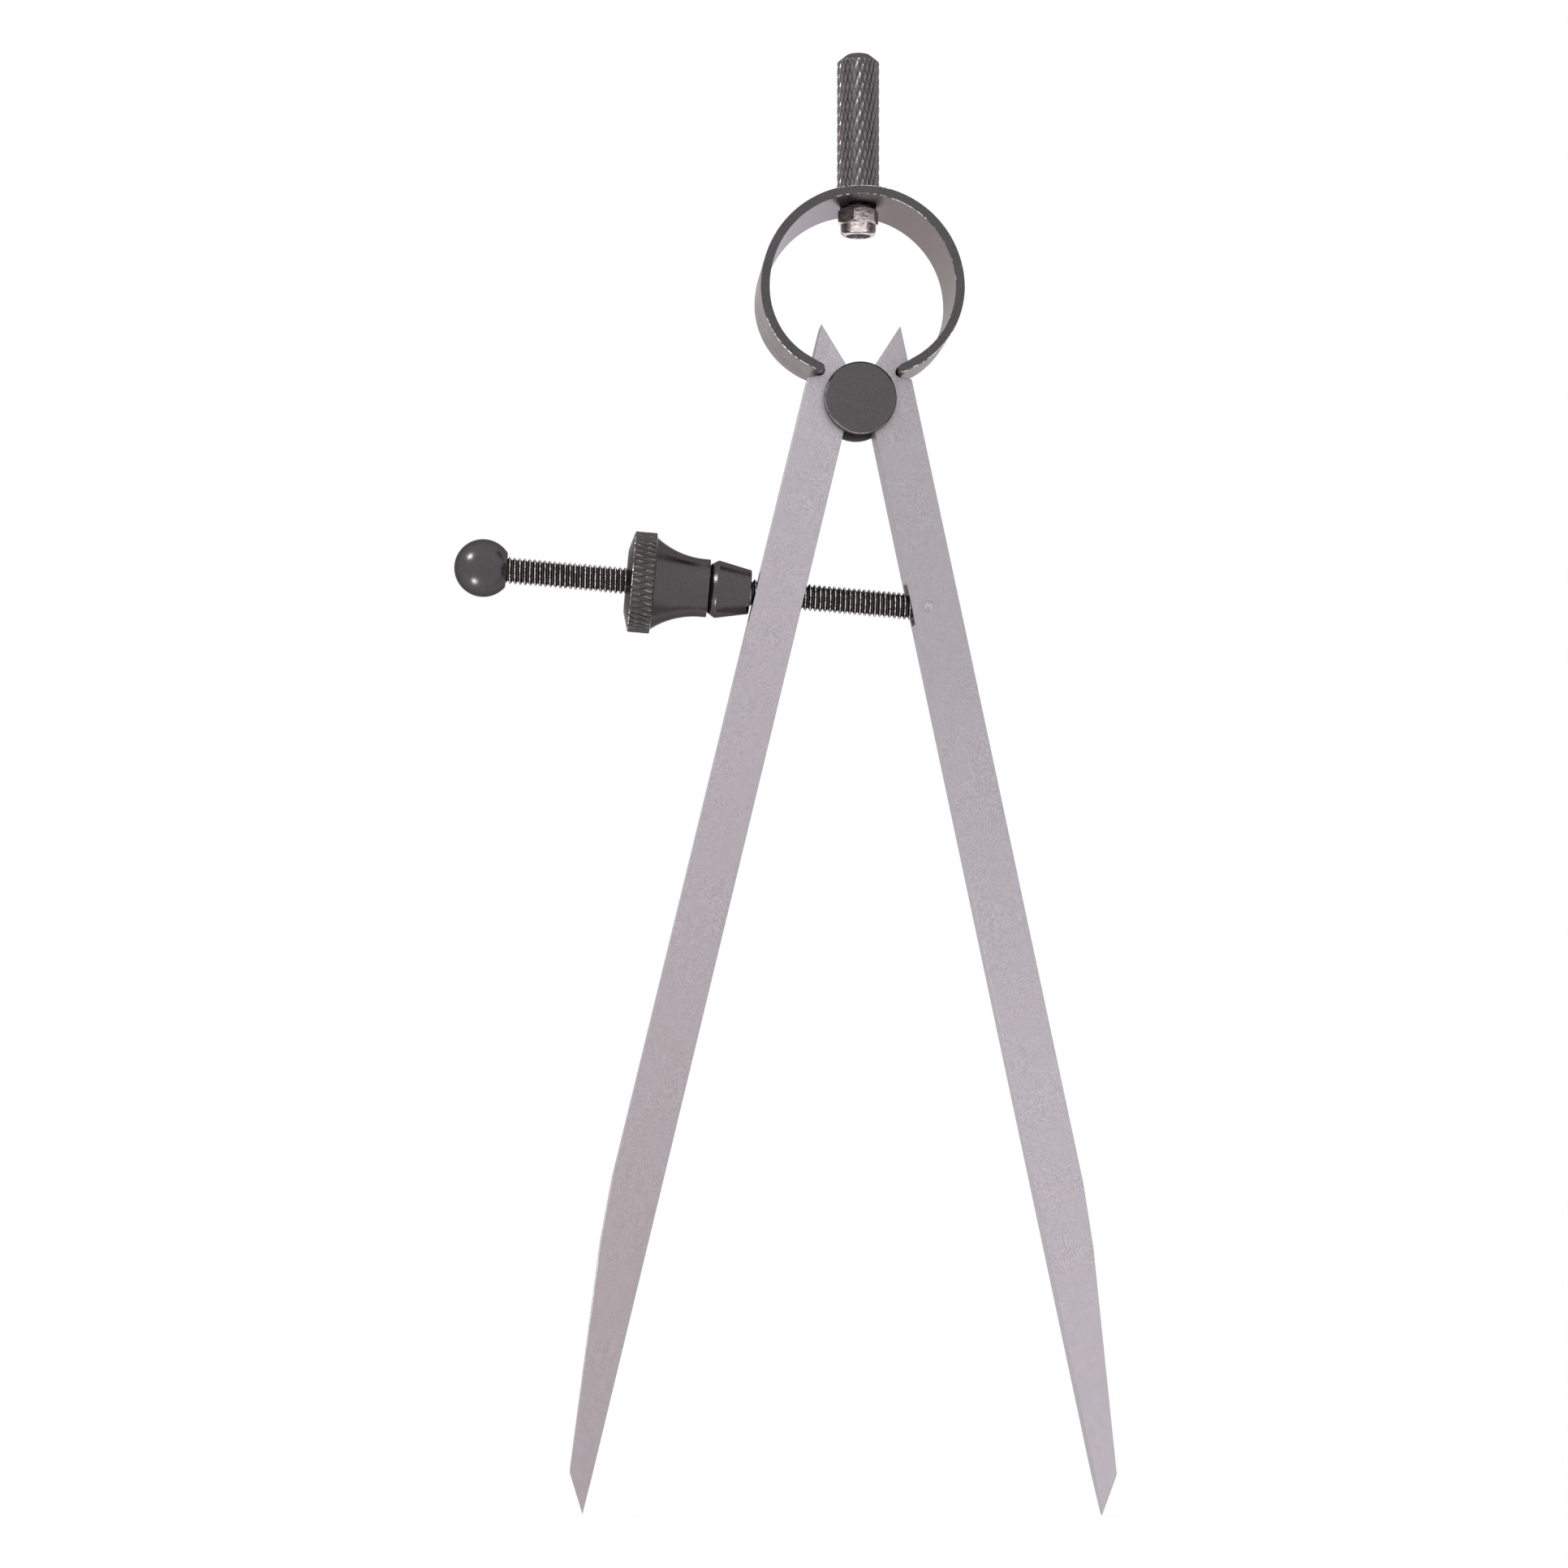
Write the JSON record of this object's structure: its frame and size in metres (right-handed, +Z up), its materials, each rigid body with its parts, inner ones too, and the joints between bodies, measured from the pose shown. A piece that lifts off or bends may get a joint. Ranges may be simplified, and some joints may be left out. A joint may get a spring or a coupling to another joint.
{
  "type": "spring divider",
  "caption": "Spring divider: flat pointed legs turn on a grooved fulcrum under a bow spring with a knurled handle, and a thumb nut on a cross screw sets their spread.",
  "frame": {"origin": "on the handle's axis, halfway along the straight part of its grip", "axes": "+Z up along the handle, away from the points; +X across the tool, away from the nut; the pictured front faces -Y"},
  "size_m": [0.087, 0.0148, 0.1929],
  "materials": {
    "black_steel": "black oxide, satin",
    "ground_steel": "fine ground, satin, faint lilac tint",
    "plated_steel": "bright zinc plate",
    "nylon": "matt, off-white"
  },
  "bodies": {
    "bow": {"bow_spring": "black_steel", "handle": "black_steel", "seat_washer": "black_steel", "lock_nut": "plated_steel", "locking_insert": "nylon", "fulcrum_spool": "black_steel"},
    "left_leg": {"left_leg": "ground_steel"},
    "right_leg": {"right_leg": "ground_steel", "swivel_pin": "ground_steel"},
    "screw": {"adjusting_screw": "black_steel", "ball_stop": "black_steel"},
    "washer": {"thrust_washer": "black_steel"},
    "nut": {"adjusting_nut": "black_steel"}
  },
  "joints": [
    {"name": "left_leg_swing", "type": "hinge", "parent": "bow", "child": "left_leg", "pos_m": [0, 0, -0.03633], "axis": [0, 1, 0], "range_deg": [-13, 15.8], "deforming": ["bow_spring"]},
    {"name": "right_leg_swing", "type": "hinge", "parent": "bow", "child": "right_leg", "pos_m": [0, 0, -0.03633], "axis": [0, -1, 0], "range_deg": [-13, 15.8], "deforming": ["bow_spring"]},
    {"name": "screw_swivel", "type": "hinge", "parent": "right_leg", "child": "screw", "pos_m": [0.00905, 0, -0.06364], "axis": [0, 1, 0], "range_deg": [-11.71, 14.23]},
    {"name": "washer_slide", "type": "slide", "parent": "screw", "child": "washer", "axis": [-0.9966, 0, 0.0828], "range_m": [-0.01266, 0.01539]},
    {"name": "nut_turn", "type": "hinge", "parent": "washer", "child": "nut", "pos_m": [0.00905, 0, -0.06364], "axis": [-0.9966, 0, 0.0828], "range_deg": [-6907, 8395]}
  ],
  "couplings": [
    {"joint": "right_leg_swing", "follows": "left_leg_swing", "ratio": 1},
    {"joint": "screw_swivel", "follows": "left_leg_swing", "ratio": 0.9},
    {"joint": "washer_slide", "follows": "left_leg_swing", "m_per_rad": 0.055806},
    {"joint": "nut_turn", "follows": "left_leg_swing", "ratio": 531.27}
  ]
}
